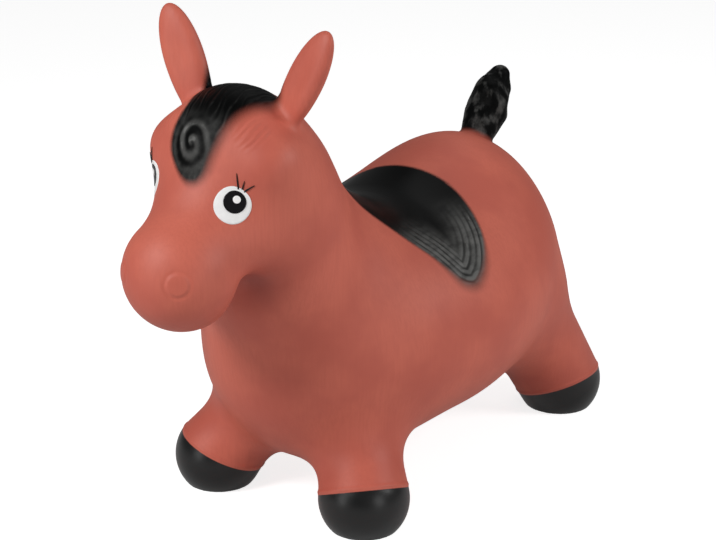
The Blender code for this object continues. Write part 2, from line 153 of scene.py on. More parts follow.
# The painted hair: the forelock's outline as (x, way round the brow), the curl and strands on it, and
# the mane behind it
brow = (-0.180, 0.360)
brow_radius = 0.070
forelock_outline = ((0.0075, -0.0098), (0.0130, -0.0055), (0.0165, 0.0030), (0.0190, 0.0199),
                    (0.0228, 0.0397), (0.0250, 0.0543), (0.0276, 0.0674), (0.0310, 0.0821),
                    (0.0345, 0.0955), (0.0378, 0.1083), (0.0405, 0.1220), (0.0410, 0.1500),
                    (-0.0410, 0.1500), (-0.0400, 0.1220), (-0.0350, 0.1030), (-0.0305, 0.0850),
                    (-0.0315, 0.0673), (-0.0331, 0.0480), (-0.0320, 0.0276), (-0.0275, 0.0124),
                    (-0.0170, -0.0005), (-0.0035, -0.0090))
forelock_rear, forelock_floor, forelock_span = -0.10, 0.32, 0.09
curl_middle = (-0.0045, 0.0320)
curl_stretch = (0.80, 1.20)
curl_lines = 0.0155
curl_reach = 0.027
curl_rim = (-0.010, 0.004)
curl_dot, curl_heart, curl_wobble = 0.004, 0.012, 0.5
curl_weak, curl_bright_turn = 0.30, 2.4
strand_lines, second_lines_share = 0.0062, 0.62
strand_depths = (0.35, 0.2)
strand_drifts = ((0.0020, 70, 0), (0.0010, 190, 300))
strand_start = 0.012
hair_relief = 0.00045
hair_edge_fade = (0.001, 0.006)
curl_rear = -0.16
mane_half_width, mane_widening = 0.021, (0.288, 0.348)
mane_end, mane_front = 0.300, -0.150
mane_space, mane_floor = (-0.165, -0.02), 0.29
mane_lean, mane_level = 0.6, 0.235

# The nostrils, the ridge over each hoof, and the wrinkles before each ear
nostril = (0.0310, -0.2900, 0.2800)
nostril_radius, nostril_rise = 0.0092, 0.0006
nostril_edge = (-0.0015, 0.0012)
nostril_groove, groove_width, groove_share = 0.0116, 0.0016, 0.7
ridge_height, ridge_rise, ridge_width = 0.0030, 0.0007, 0.0019
wrinkles = (0.0445, -0.2035, 0.3935)
wrinkle_way = (0.710, 0.226, -0.668)
wrinkle_reach, wrinkle_lines, wrinkle_relief = 0.020, 0.0056, 0.00040
wrinkle_core_share = 0.4
wrinkle_drifts = ((0.6, 0, 170, 120), (0.4, -260, 0, 300))
wrinkle_cross = (0.5, 620, -760)

# The eyes, printed on the skin: places across and up from the eye's middle
eyes = {1: (0.0418, -0.2293, 0.3368), -1: (0.0500, -0.2098, 0.3395)}
eye_radius = 0.0162
pupil_place, pupil_radius = (0.0020, 0.0027), 0.0098
highlight_place, highlight_radius = (0.0038, 0.0048), 0.0034
lashes = (((0.0057, 0.0135), (0.0054, 0.0203), (0.0053, 0.0270)),
          ((0.0090, 0.0134), (0.0101, 0.0163), (0.0118, 0.0209)),
          ((0.0104, 0.0113), (0.0150, 0.0145), (0.0202, 0.0181)))
lash_width, lash_taper = 0.0014, 0.97
print_lift = 0.00035

# The hole in the belly's skin round the valve
valve_y = 0.120
valve_hole, valve_ceiling = 0.0095, 0.1

SIDES = (("left", 1), ("right", -1))


def smooth_union(a, b, reach):
    """The lesser of two distances, lowered by (reach - |a - b|)^2 / (4 reach) where they are closer
    to each other than reach, which rounds the crease between two forms."""
    h = np.maximum(reach - np.abs(a - b), 0) / reach
    return np.minimum(a, b) - h * h * reach / 4


def egg(points, middle, half_sizes):
    """About the distance to an ellipsoid: k0 (k0 - 1) / k1, where k0 is the length of the point over
    the half sizes and k1 its length over their squares."""
    q = points - np.float32(middle)
    r = np.float32(half_sizes)
    k0 = np.linalg.norm(q / r, axis=-1)
    k1 = np.linalg.norm(q / (r * r), axis=-1)
    return k0 * (k0 - 1) / np.maximum(k1, 1e-6)


def rod(points, start, end, start_radius, end_radius):
    """The distance to the skin stretched over two balls: on the plane through the point and the line
    between their middles, the nearest of the two rounds and of the straight that touches both."""
    start, end = np.float32(start), np.float32(end)
    length = np.linalg.norm(end - start)
    q = points - start
    along = q @ ((end - start) / length)
    out = np.sqrt(np.maximum((q * q).sum(-1) - along * along, 0))
    lean = (start_radius - end_radius) / length
    upright = np.sqrt(1 - lean * lean)
    place = along * upright - out * lean
    straight = out * upright + along * lean - start_radius
    first = np.hypot(out, along) - start_radius
    last = np.hypot(out, along - length) - end_radius
    return np.where(place < 0, first, np.where(place > upright * length, last, straight))


def mirrored(place, side):
    """A place of the left side, or its mirror image for the right side."""
    return np.float32((place[0] * side, place[1], place[2]))


def ear_axes(side):
    """The ear's widest place, the length from there to its tip, and its across, back and along
    directions."""
    middle, tip = mirrored(ear_middle, side), mirrored(ear_tip[side], side)
    along = tip - middle
    rise = np.linalg.norm(along)
    along = along / rise
    across = np.cross(along, (0, 1, 0))
    across = across / np.linalg.norm(across)
    back = np.cross(across, along)
    turn = ear_turn * side
    turned_across = cos(turn) * across + sin(turn) * back
    turned_back = cos(turn) * back - sin(turn) * across
    return middle, rise, turned_across, turned_back, along


def ear(points, side):
    """A leaf: two half eggs, a long one up to the tip and a short one down into the head, flattened
    from front to back, with a shallow round hollow in the front."""
    middle, rise, across, back, along = ear_axes(side)
    q = points - np.float32(middle)
    local = np.stack([q @ np.float32(across), q @ np.float32(back), q @ np.float32(along)], -1)
    sizes = np.empty_like(local)
    sizes[..., 0] = ear_half_width
    sizes[..., 1] = ear_half_thickness
    sizes[..., 2] = np.where(local[..., 2] > 0, rise, ear_drop)
    dish_width, dish_rise = ear_dish_share[0] * ear_half_width, ear_dish_share[1] * rise
    hollow = np.exp(-(local[..., 0] / dish_width) ** 2 - (local[..., 2] / dish_rise) ** 2)
    return egg(local, (0, 0, 0), sizes) + (
        ear_dish * hollow * np.clip(-2 * local[..., 1] / ear_half_thickness, 0, 1))


def leg(points, form, side):
    """A tapered rod from the hip to the hoof's ball."""
    return rod(points, mirrored(form["hip"], side), mirrored(form["hoof"], side),
               form["hip_radius"], form["hoof_radius"])


def tail_lock(points):
    """Rods end to end along the tail, as twisted locks: between its ends their radius swells by a
    wide and a narrow wave, cos(2 turn - 130 h + 0.9) and cos(5 turn + 230 h) at a height h."""
    d = None
    for start, end in zip(tail_line, tail_line[1:]):
        piece = rod(points, start[:3], end[:3], start[3], end[3])
        d = piece if d is None else smooth_union(d, piece, tail_reach)
    root, tip = np.float32(tail_line[0][:3]), np.float32(tail_line[-1][:3])
    along = (tip - root) / np.linalg.norm(tip - root)
    q = points - root
    height = q @ along
    turn = np.arctan2(q[..., 0], q @ np.cross(along, (1, 0, 0)).astype(np.float32))
    start, end = tail_swell_ends
    swell = (np.clip((height - start) / tail_swell_fade, 0, 1)
             * np.clip((end - height) / tail_swell_fade, 0, 1))
    return d - swell * (tail_swell * np.cos(2 * turn - height * 130 + 0.9)
                        + tail_ripple * np.cos(5 * turn + height * 230))


def horse(points):
    """The horse's whole skin: negative inside, zero on it, and positive outside."""
    d = egg(points, *rump)
    d = smooth_union(d, egg(points, *barrel), trunk_reach)
    d = smooth_union(d, egg(points, *chest), trunk_reach)
    d = smooth_union(d, rod(points, *neck), trunk_reach)
    d = smooth_union(d, egg(points, *throat), throat_reach)
    head = smooth_union(egg(points, *skull), rod(points, *muzzle), head_reach)
    head = smooth_union(head, egg(points, *cheek), head_reach)
    for _, side in SIDES:
        head = smooth_union(head, egg(points, mirrored(brow_bump[0], side), brow_bump[1]), brow_reach)
    t = np.clip((points[..., 2] - chin_height) / (jaw_height - chin_height), 0, 1)
    d = smooth_union(d, head, chin_reach + (jaw_reach - chin_reach) * t * t * (3 - 2 * t))
    for _, side in SIDES:
        away = points - mirrored(jaw_hollow, side)
        d = d + np.float32(hollow_depth) * np.exp(-(away * away).sum(-1) / hollow_reach ** 2)
    for form in legs.values():
        for _, side in SIDES:
            d = smooth_union(d, leg(points, form, side), leg_reach)
    for _, side in SIDES:
        d = smooth_union(d, ear(points, side), ear_reach)
    d = smooth_union(d, tail_lock(points), tail_reach)
    return np.maximum(d, -points[..., 2])


def slope(points, reach=0.0004):
    """The gradient of the horse's field, from its differences a little to each side."""
    made = np.empty(points.shape, np.float64)
    for axis in range(3):
        step = np.zeros(3, points.dtype)
        step[axis] = reach
        made[:, axis] = (horse(points + step).astype(float) - horse(points - step)) / (2 * reach)
    return made


def dropped(points):
    """Points moved onto the skin: down the field's slope g by the field over g squared."""
    g = slope(points.astype(np.float32))
    return points - horse(points.astype(np.float32))[:, None] * g / (g * g).sum(1, keepdims=True)


def surface(field, low, high, step):
    """A net over a field's zero level: one point in each cell that the level crosses, at the mean of
    the crossings on the cell's edges, and one four-sided face across each crossed edge. A coarse
    pass finds the cells near the level first."""
    coarse = step * coarse_share
    counts = [int(np.ceil((h - l) / coarse)) + 1 for l, h in zip(low, high)]
    axes = [l + coarse * (np.arange(n) + 0.5 - 0.5 / coarse_share) for l, n in zip(low, counts)]
    rough = field(np.stack(np.meshgrid(*axes, indexing="ij"), -1).astype(np.float32))
    near = np.abs(rough) < coarse_reach * coarse
    fine_near = near.repeat(coarse_share, 0).repeat(coarse_share, 1).repeat(coarse_share, 2)
    value = rough.repeat(coarse_share, 0).repeat(coarse_share, 1).repeat(coarse_share, 2)
    where = np.argwhere(fine_near)
    value[fine_near] = field((where * step + np.array(low)).astype(np.float32))
    inside = value < 0
    corners = [inside[i:i - 1 or None, j:j - 1 or None, k:k - 1 or None]
               for i in (0, 1) for j in (0, 1) for k in (0, 1)]
    some = np.logical_or.reduce(corners)
    every = np.logical_and.reduce(corners)
    cell = np.argwhere(some & ~every)
    index = np.full(some.shape, -1, np.int64)
    index[tuple(cell.T)] = np.arange(len(cell))
    total = np.zeros((len(cell), 3))
    count = np.zeros(len(cell))
    for axis in range(3):
        others = [each for each in range(3) if each != axis]
        for a in (0, 1):
            for b in (0, 1):
                start = cell.copy()
                start[:, others[0]] += a
                start[:, others[1]] += b
                end = start.copy()
                end[:, axis] += 1
                first, last = value[tuple(start.T)], value[tuple(end.T)]
                crossed = (first < 0) != (last < 0)
                share = np.where(crossed, first / np.where(crossed, first - last, 1), 0)
                place = (start - cell).astype(float)
                place[:, axis] = share
                total += place * crossed[:, None]
                count += crossed
    points = (cell + total / count[:, None]) * step + np.array(low)
    faces = []
    for axis in range(3):
        lower = np.delete(np.arange(inside.shape[axis]), -1)
        crossed = np.take(inside, lower, axis) != np.take(inside, lower + 1, axis)
        edge = np.argwhere(crossed)
        one, two = (axis + 1) % 3, (axis + 2) % 3
        leaving = inside[tuple(edge.T)]
        ring = []
        for a, b in ((0, 0), (1, 0), (1, 1), (0, 1)):
            corner = edge.copy()
            corner[:, one] -= 1 - a
            corner[:, two] -= 1 - b
            ring.append(index[tuple(corner.T)])
        ring = np.stack(ring, 1)
        ring[~leaving] = ring[~leaving][:, ::-1]
        faces.append(ring)
    return points, np.concatenate(faces)


def settled(points, faces):
    """The net evened out and put exactly on the level: each point moves halfway to its neighbours'
    mean, and then drops onto the skin."""
    pairs = np.concatenate([faces[:, [0, 1]], faces[:, [1, 2]], faces[:, [2, 3]], faces[:, [3, 0]]])
    degree = np.bincount(pairs.ravel(), minlength=len(points))[:, None]
    for _ in range(settle_rounds):
        total = np.stack([np.bincount(pairs[:, 0], points[pairs[:, 1], k], len(points))
                          + np.bincount(pairs[:, 1], points[pairs[:, 0], k], len(points))
                          for k in range(3)], 1)
        points = points + settle_share * (total / degree - points)
        points = dropped(points)
    return points


low = np.array(cad_box[0]) - grid_margin
low[2] = -cells_below_ground * skin_step
skin, faces = surface(horse, low, np.array(cad_box[1]) + grid_margin, skin_step)
skin = settled(skin, faces)
skin[:, 2] = np.maximum(skin[:, 2], 0)
middles = skin[faces].mean(1)


def step_up(value, start, end):
    """0 before start, 1 after end, and 3 t^2 - 2 t^3 between them."""
    t = np.clip((value - start) / (end - start), 0, 1)
    return t * t * (3 - 2 * t)


def bell(value, width):
    """1 at 0, and e^-1 a width away from it."""
    return np.exp(-(value / width) ** 2)


def between(value, limits):
    """Whether each value lies inside the two limits."""
    return (value > limits[0]) & (value < limits[1])


def smooth_outline(corners, share=6):
    """A closed curve through its corners: on each stretch the Catmull-Rom cubic of the four corners
    round it."""
    p = np.array(corners, float)
    t = np.linspace(0, 1, share, endpoint=False)[:, None, None]
    a, b, c, d = np.roll(p, 1, 0), p, np.roll(p, -1, 0), np.roll(p, -2, 0)
    curve = 0.5 * (2 * b + (c - a) * t + (2 * a - 5 * b + 4 * c - d) * t ** 2
                   + (3 * b - a - 3 * c + d) * t ** 3)
    return curve.transpose(1, 0, 2).reshape(-1, 2)


def outline_distance(places, outline):
    """The distance from places on a plane to a closed outline, negative inside it: the least distance
    to its edges, with the sign from how often a ray to the side crosses them."""
    start, end = outline, np.roll(outline, -1, 0)
    least = np.full(len(places), 1e9)
    crossings = np.zeros(len(places), int)
    x, y = places[:, 0], places[:, 1]
    for a, b in zip(start, end):
        along = b - a
        t = np.clip(((x - a[0]) * along[0] + (y - a[1]) * along[1]) / (along @ along + 1e-12), 0, 1)
        least = np.minimum(least, np.hypot(x - a[0] - t * along[0], y - a[1] - t * along[1]))
        if a[1] != b[1]:
            across = (a[1] > y) != (b[1] > y)
            crossings += across & (x < a[0] + (y - a[1]) / (b[1] - a[1]) * along[0])
    return np.where(crossings % 2 == 1, -least, least)


def saddle_distance(p):
    """How far a point lies outside the painted saddle, seen from the side."""
    away = np.full(len(p), far_away)
    near = between(p[:, 1], saddle_space[0]) & between(p[:, 2], saddle_space[1])
    away[near] = outline_distance(p[near][:, 1:], smooth_outline(saddle_outline))
    return away


def brow_way(p):
    """How far round the brow a point lies, from straight ahead up over the crown."""
    return np.arctan2(p[:, 2] - brow[1], -(p[:, 1] - brow[0])) * brow_radius


def hair_distance(p):
    """How far a point lies outside the painted forelock, or the mane that runs on from it down the
    back of the neck: a strip on each side of the middle that narrows to its end above the withers."""
    away = np.full(len(p), far_away)
    x, y, z = p.T
    near = (y < forelock_rear) & (z > forelock_floor) & (np.abs(x) < forelock_span)
    flat = np.stack([x[near], brow_way(p[near])], 1)
    away[near] = outline_distance(flat, smooth_outline(forelock_outline))
    half_width = mane_half_width * step_up(z, *mane_widening)
    strip = np.maximum(np.maximum(np.abs(x) - half_width, mane_end - z), mane_front - y)
    back = between(y, mane_space) & (z > mane_floor) & (z + mane_lean * y > mane_level)
    return np.where(back, np.minimum(away, strip), away)


def hoof_distance(p, form, side):
    """How far a point lies above a hoof's colour line."""
    hoof = mirrored(form["hoof"], side)
    up = np.array((-side * tan(form["out"]), tan(form["ahead"]), 1.0))
    up /= np.linalg.norm(up)
    d = (p - np.array((hoof[0], hoof[1], form["line"]))) @ up
    away = np.linalg.norm(p - hoof, axis=1) > leg_span
    return np.where(away, far_away, d)


def leg_height(p, form, side):
    """How far past the hoof ball's middle a point lies along a leg, a negative towards the hip, and
    the leg's way from the hip to the hoof."""
    hip, hoof = mirrored(form["hip"], side), mirrored(form["hoof"], side)
    toward_hoof = (hoof - hip) / np.linalg.norm(hoof - hip)
    return (p - hoof) @ toward_hoof, toward_hoof


def hoof_edge(p):
    """How far a point lies above the nearest hoof's colour line."""
    return np.min([hoof_distance(p, form, side) for form in legs.values() for _, side in SIDES], 0)


tail_way = np.array(tail_line[-1][:3]) - np.array(tail_line[0][:3])
tail_way /= np.linalg.norm(tail_way)


def tail_rise(p):
    """How far up the tail a point lies from its root, less its share of what lies aside of the tail."""
    away = p - np.array(tail_root)
    rise = away @ tail_way
    aside = np.linalg.norm(away - rise[:, None] * tail_way, axis=1)
    past = np.maximum(aside - tail_paint_radius, 0)
    return np.maximum(rise - tail_paint_slope * past, -far_away)


def saddle_waves(p):
    """Waves beside the saddle's lower edge, cos 2 pi (d / lines - start) at a way d in from the edge,
    which fade out at the edge, towards the saddle's middle and with height."""
    inside = -saddle_distance(p)
    waves = np.cos(2 * pi * (inside / saddle_lines - saddle_start)) * step_up(inside, *saddle_edge_fade)
    waves *= (1 - step_up(inside, *saddle_inner_fade)) * (1 - step_up(p[:, 2], *saddle_top_fade))
    along, up = saddle_wobble_ways
    waves *= 1 - saddle_wobble + saddle_wobble * np.sin(along * p[:, 1] - up * p[:, 2])
    return saddle_relief * waves


def hair_waves(p, deep):
    """Strands along the hair, cos(2 pi x / lines) with x drifting on the way, and on the brow one turned
    curl, -cos(2 pi r / lines + turn) at a way r from its middle, which the strands leave free."""
    x, way = p[:, 0], brow_way(p)
    right, up = x - curl_middle[0], way - curl_middle[1]
    r = np.hypot(right / curl_stretch[0], up / curl_stretch[1])
    turn = np.arctan2(up, right)
    wobble = curl_wobble * step_up(r, 0, curl_heart) * np.sin(2 * turn + 1)
    curl = -np.cos(2 * pi * r / curl_lines + turn + wobble)
    rim = 1 - step_up(r, curl_reach + curl_rim[0], curl_reach + curl_rim[1])
    curl *= step_up(r, 0, curl_dot) * rim
    curl *= 1 - curl_weak + curl_weak * np.cos(turn - curl_bright_turn)
    drift = x
    for size, by_way, by_x in strand_drifts:
        drift = drift + size * np.sin(way * by_way + by_x * x)
    strands = strand_depths[0] * np.cos(2 * pi * drift / strand_lines)
    strands += strand_depths[1] * np.cos(2 * pi * drift / (second_lines_share * strand_lines) + 1)
    with_curl = curl + strands * step_up(r, curl_reach, curl_reach + strand_start)
    on_brow = (p[:, 1] < curl_rear) & (p[:, 2] > forelock_floor)
    return hair_relief * deep * np.where(on_brow, with_curl, strands)


def nostril_disc(p, side):
    """A low disc with a soft edge, and a groove round it."""
    away = np.linalg.norm(p - mirrored(nostril, side), axis=1)
    disc = 1 - step_up(away, nostril_radius + nostril_edge[0], nostril_radius + nostril_edge[1])
    return nostril_rise * (disc - groove_share * bell(away - nostril_groove, groove_width))


def ear_wrinkles(p, side, deep):
    """Slanting wrinkles before an ear, cos(2 pi s / lines + drift) at a way s across them, and lower
    ones that cross them. They fade outwards and under the hair."""
    away = np.linalg.norm(p - mirrored(wrinkles, side), axis=1)
    x, y, z = side * p[:, 0], p[:, 1], p[:, 2]
    drift = sum(size * np.sin(by_x * x + by_y * y + by_z * z) for size, by_x, by_y, by_z in wrinkle_drifts)
    lines = np.cos(2 * pi * (p @ mirrored(wrinkle_way, side)) / wrinkle_lines + drift)
    cross_share, by_y, by_z = wrinkle_cross
    lines += cross_share * np.cos(by_y * y + by_z * z + 2 * drift)
    shown = 1 - step_up(away, wrinkle_core_share * wrinkle_reach, wrinkle_reach)
    return wrinkle_relief * shown * lines * (1 - deep)


def relief(p):
    """How far the moulded relief stands out at a point, on the saddle, hair, hooves and head."""
    deep = step_up(-hair_distance(p), *hair_edge_fade)
    ridge = ridge_rise * bell(hoof_edge(p) - ridge_height, ridge_width)
    h = saddle_waves(p) + hair_waves(p, deep) + ridge
    return h + sum(nostril_disc(p, side) + ear_wrinkles(p, side, deep) for _, side in SIDES)


def painted_jaw_shade(p):
    """How much shade is painted in at a point of the hollow behind the jaw: 1 in its middle, 0 outside."""
    return sum(bell(np.linalg.norm(p - mirrored(jaw_shade, side), axis=1), shade_reach)
               for _, side in SIDES)


def bend_line(root, way, ends):
    """Where a bend along a way from a root starts and ends."""
    return tuple(root + way * each for each in ends)


def rise_and_aside(root, way):
    """How far the faces' middles lie from a root, along a way and across it."""
    rise = (middles - root) @ way
    return rise, np.linalg.norm(middles - root - rise[:, None] * way, axis=1)


def skin_owners():
    """The name of the piece that each face of the skin belongs to."""
    owner = np.full(len(faces), "torso_skin", dtype="U24")
    neck_way = np.array(neck[1]) - np.array(neck[0])
    neck_way /= np.linalg.norm(neck_way)
    up_neck = (middles - np.array(neck_seam)) @ neck_way
    owner[up_neck > 0] = "neck_skin"
    owner[up_neck > neck_height] = "head_skin"
    owner[saddle_distance(skin)[faces].mean(1) < 0] = "saddle_panel"
    in_hair = hair_distance(skin)[faces].mean(1) < 0
    owner[in_hair] = "mane_panel"
    owner[in_hair & (middles[:, 1] < ear_root[1])] = "forelock"
    for end, form in legs.items():
        for side_name, side in SIDES:
            along, _ = leg_height(middles, form, side)
            near = np.linalg.norm(middles - mirrored(form["hoof"], side), axis=1) < leg_span
            owner[near & (along > form["root"])] = f"leg_{end}_{side_name}"
            owner[hoof_distance(middles, form, side) < 0] = f"hoof_{end}_{side_name}"
    for side_name, side in SIDES:
        rise, aside = rise_and_aside(mirrored(ear_root, side), ear_axes(side)[-1])
        owner[(rise > ear_seam) & (aside < ear_span) & (middles[:, 2] > ear_floor)] = f"ear_{side_name}"
    rise, aside = rise_and_aside(np.array(tail_root), tail_way)
    owner[(rise > tail_seam) & (aside < tail_span)] = "tail"
    at_valve = np.hypot(middles[:, 0], middles[:, 1] - valve_y) < valve_hole
    owner[at_valve & (middles[:, 2] < valve_ceiling)] = "valve_opening"
    return owner


def skin_blends():
    """For each piece that bends: the body that it bends towards, and where its bend starts and ends."""
    blends = {}
    for end, form in legs.items():
        for side_name, side in SIDES:
            _, toward_hoof = leg_height(middles, form, side)
            blends[f"leg_{end}_{side_name}"] = (f"foot_{end}_{side_name}", bend_line(
                mirrored(form["hoof"], side), toward_hoof, (form["root"] + leg_bend_gap, leg_grip)))
    for side_name, side in SIDES:
        blends[f"ear_{side_name}"] = (f"{side_name}_ear", bend_line(
            mirrored(ear_root, side), ear_axes(side)[-1], ear_bend))
    blends["tail"] = ("tail_lock", bend_line(np.array(tail_root), tail_way, tail_bend))
    return blends


owner = skin_owners()


def mesh_piece(name, points, quads, point_normals, values, paint):
    """A mesh object from whole arrays: points, four-sided faces, normals and values on its points."""
    mesh = bpy.data.meshes.new(name)
    mesh.vertices.add(len(points))
    mesh.vertices.foreach_set("co", points.astype(np.float32).ravel())
    mesh.loops.add(quads.size)
    mesh.loops.foreach_set("vertex_index", quads.astype(np.int32).ravel())
    mesh.polygons.add(len(quads))
    mesh.polygons.foreach_set("loop_start", np.arange(0, quads.size, quads.shape[1], dtype=np.int32))
    mesh.polygons.foreach_set("use_smooth", np.ones(len(quads), bool))
    mesh.update(calc_edges=True)
    for title, value in values.items():
        mesh.attributes.new(title, "FLOAT", "POINT").data.foreach_set("value", value.astype(np.float32))
    if point_normals is not None:
        mesh.normals_split_custom_set_from_vertices(point_normals.astype(np.float32))
    mesh.materials.append(paint)
    made = bpy.data.objects.new(name, mesh)
    bpy.context.scene.collection.objects.link(made)
    return made


def finer(points, quads):
    """Each face split in four, with new points at the middles of its edges and of itself."""
    sides = np.sort(np.concatenate([quads[:, [k, (k + 1) % 4]] for k in range(4)]), axis=1)
    edges, index = np.unique(sides, axis=0, return_inverse=True)
    index = index.reshape(4, -1).T + len(points)
    centre = np.arange(len(quads)) + len(points) + len(edges)
    parts = [np.stack([quads[:, k], index[:, k], centre, index[:, k - 1]], 1) for k in range(4)]
    return np.concatenate([points, points[edges].mean(1), points[quads].mean(1)]), np.concatenate(parts)


def skin_piece(name, paint, splits=1):
    """The faces of the skin that belong to a piece, split finer, put on the skin and moved out along
    its normal by the relief h. Its normals are n less the part of h's slope that lies in the skin."""
    used, quads = np.unique(faces[owner == name], return_inverse=True)
    points, quads = skin[used], quads.reshape(-1, 4)
    for _ in range(splits):
        points, quads = finer(points, quads)
        points = dropped(points)
        points[:, 2] = np.maximum(points[:, 2], 0)
    normals = slope(points.astype(np.float32))
    normals /= np.linalg.norm(normals, axis=1, keepdims=True)
    height = relief(points)
    tilt = np.stack([(relief(points + step) - height) / relief_step
                     for step in relief_step * np.eye(3)], 1)
    normals = normals - tilt + (tilt * normals).sum(1, keepdims=True) * normals
    normals /= np.linalg.norm(normals, axis=1, keepdims=True)
    values = {
        "hoof_edge": hoof_edge(points),
        "saddle_edge": saddle_distance(points),
        "hair_edge": hair_distance(points),
        "tail_rise": tail_rise(points),
        "relief": height * 1000,
        # Shade painted into the colour behind the jaw
        "hollow": painted_jaw_shade(points),
    }
    moved = points + normals * height[:, None]
    moved[:, 2] = np.maximum(moved[:, 2], 0)
    return mesh_piece(name + "_vinyl", moved, quads, normals, values, paint)


class Nodes:
    """A material's node tree, built up a node at a time."""

    def __init__(self, name):
        self.material = bpy.data.materials.new(name)
        self.material.use_nodes = True
        self.tree = self.material.node_tree
        self.shader = self.tree.nodes["Principled BSDF"]

    def add(self, kind, inputs=(), **settings):
        """A node of a kind, with its inputs fed and its settings set."""
        node = self.tree.nodes.new(kind)
        for key, value in settings.items():
            setattr(node, key, value)
        for key, value in dict(inputs).items():
            self.feed(node.inputs[key], value)
        return node

    def feed(self, socket, value):
        """Links another node's output to a socket, or sets the socket to a plain value."""
        if isinstance(value, bpy.types.NodeSocket):
            self.tree.links.new(value, socket)
        else:
            socket.default_value = value

    def attribute(self, title):
        return self.add("ShaderNodeAttribute", attribute_name=title).outputs["Fac"]

    def calc(self, operation, *values):
        return self.add("ShaderNodeMath", enumerate(values), operation=operation).outputs[0]

    def times(self, a, b):
        return self.calc("MULTIPLY", a, b)

    def most(self, first, *others):
        """The greatest of some values."""
        for other in others:
            first = self.calc("MAXIMUM", first, other)
        return first

    def fade(self, value, start, end, low=0.0, high=1.0):
        """A smooth step from low to high as value goes from start to end."""
        inputs = {"Value": value, "From Min": start, "From Max": end, "To Min": low, "To Max": high}
        return self.add("ShaderNodeMapRange", inputs, interpolation_type="SMOOTHSTEP").outputs["Result"]

    def mix(self, share, a, b):
        """A colour that goes from a to b as the share goes from 0 to 1."""
        node = self.add("ShaderNodeMix", data_type="RGBA")
        self.feed(node.inputs["Factor"], share)
        self.feed(node.inputs[6], a)
        self.feed(node.inputs[7], b)
        return node.outputs[2]

    def noise(self, scale, stretch=(1, 1, 1), detail=2.0):
        """Noise on the object's own coordinates, stretched along an axis by a small factor."""
        place = self.add("ShaderNodeTexCoord").outputs["Object"]
        scaled = self.add("ShaderNodeMapping", {"Vector": place, "Scale": stretch}).outputs["Vector"]
        inputs = {"Vector": scaled, "Scale": scale, "Detail": detail}
        return self.add("ShaderNodeTexNoise", inputs).outputs["Fac"]

    def bump(self, height, distance, strength, after=None):
        """The normal on a fine relief, laid over an earlier one where there is one."""
        inputs = {"Height": height, "Distance": distance, "Strength": strength}
        if after is not None:
            inputs["Normal"] = after
        return self.add("ShaderNodeBump", inputs).outputs["Normal"]

    def finish(self, colour, roughness, normal):
        self.feed(self.shader.inputs["Base Color"], colour)
        self.feed(self.shader.inputs["Roughness"], roughness)
        self.feed(self.shader.inputs["Normal"], normal)
        return self.material


# The vinyl, its paint, and what each share fades over
brown = (0.640, 0.150, 0.098, 1)
brown_deep = (0.545, 0.117, 0.078, 1)
# Painted shade, mixed into the brown behind the jaw
brown_shade = (0.230, 0.046, 0.036, 1)
black = (0.0014, 0.0016, 0.0016, 1)
# The black turned grey, partly as wear on the paint and partly as painted highlights
black_wear_and_sheen = (0.1560, 0.1560, 0.1500, 1)
# How far the painted shade behind the jaw darkens the brown
painted_shade_darkness = 0.75
spray_width = 0.0022
saddle_soft_heights, saddle_softness = (0.207, 0.245), (0.0085, 0.0022)
hair_soft_places, hair_softness = (-0.010, 0.022), (0.0034, 0.0080)
hoof_softness = 0.0003
tail_fade = (-0.010, 0.001)
crown_fade = (0.414, 0.390)
# The saddle's lower end, where a painted highlight greys the black, and the relief heights it keeps to
low_end_heights, low_end_ways, low_end_relief = (0.272, 0.240), (-0.044, -0.016), (-0.85, 0.25)
tail_grain, tail_twist_depth = (1, 1, 0.6), 0.0016
base_roughness, black_gloss = 0.54, 0.24
tail_roughness, hair_roughness, hoof_roughness = 0.20, 0.14, 0.05
skin_shine, hoof_shine, least_shine = 0.34, 0.42, 0.06


def bare_vinyl(n):
    """The vinyl's colour: clouds and fine combed streaks, with shade painted into the hollow behind the
    jaw.
    """
    streaks = n.noise(380.0, (1, 1, 0.05))
    colour = n.mix(n.fade(n.noise(14.0, detail=3.0), 0.35, 0.65), brown, brown_deep)
    colour = n.mix(n.fade(streaks, 0.35, 0.75, 0, 0.30), colour, brown_deep)
    # Shade painted into the brown in the hollow behind the jaw
    return n.mix(n.times(n.attribute("hollow"), painted_shade_darkness), colour, brown_shade), streaks


def sprayed(n, edge, softness):
    """1 inside a sprayed edge and 0 outside, over twice a softness, with an uneven edge."""
    spray = n.times(n.calc("SUBTRACT", n.noise(900.0), 0.5), spray_width)
    return n.fade(n.calc("ADD", edge, spray), softness, n.times(softness, -1.0))


